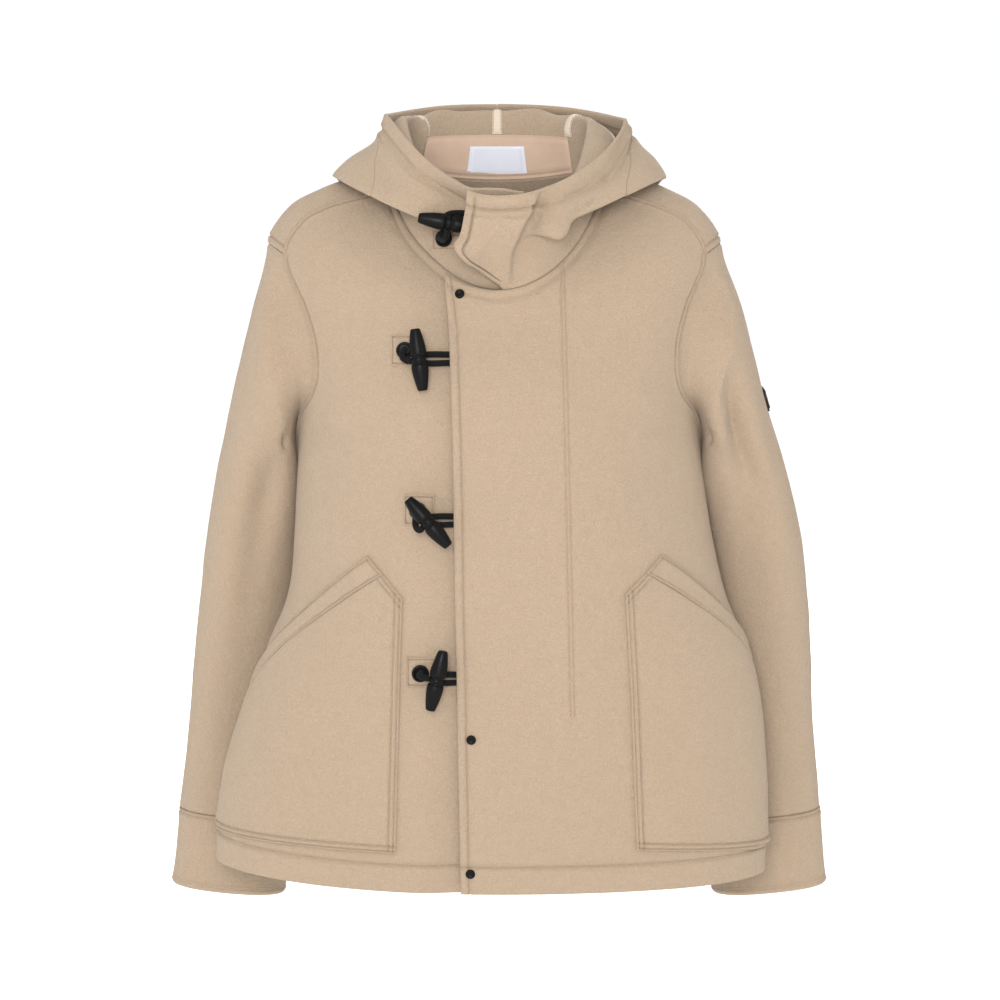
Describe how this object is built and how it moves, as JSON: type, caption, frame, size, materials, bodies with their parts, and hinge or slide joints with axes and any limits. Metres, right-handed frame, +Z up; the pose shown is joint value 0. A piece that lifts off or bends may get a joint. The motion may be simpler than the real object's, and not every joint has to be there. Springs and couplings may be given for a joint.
{
  "type": "hooded toggle duffle jacket",
  "caption": "Hooded duffle jacket of thick felted wool with toggles over cord loops, slanted patch pockets and a throat flap, filled out as if worn.",
  "frame": {"origin": "midway between the wearer's shoulders, at the height where they carry the jacket", "axes": "+Z up, -Y is the way the jacket faces, +X is the wearer's left"},
  "size_m": [0.692, 0.3404, 0.829],
  "materials": {
    "wool": "matte, napped felt",
    "facing": "matte, smooth",
    "label": "woven satin, plain",
    "tab": "matte felt",
    "button": "satin black",
    "cord": "braided black cord"
  },
  "bodies": {
    "root": {"front_right": "wool", "front_left": "wool", "back": "wool", "sleeve_right": "wool", "sleeve_left": "wool", "cuff_right": "wool", "cuff_left": "wool", "hood_side_right": "wool", "hood_side_left": "wool", "hood_back_left": "wool", "hood_back_right": "wool", "pocket_right": "wool", "pocket_left": "wool", "welt_right": "wool", "welt_left": "wool", "patch_throat": "wool", "patch_chest": "wool", "patch_waist": "wool", "patch_hip": "wool", "neck_facing": "facing", "neck_label": "label", "sleeve_tab": "tab", "button_throat": "button", "toggle_throat": "button", "tie_throat": "cord", "loop_throat": "cord", "button_chest": "button", "toggle_chest": "button", "tie_chest": "cord", "loop_chest": "cord", "button_waist": "button", "toggle_waist": "button", "tie_waist": "cord", "loop_waist": "cord", "button_hip": "button", "toggle_hip": "button", "tie_hip": "cord", "loop_hip": "cord", "snap_top": "button", "snap_hip": "button", "snap_hem": "button"}
  },
  "joints": []
}
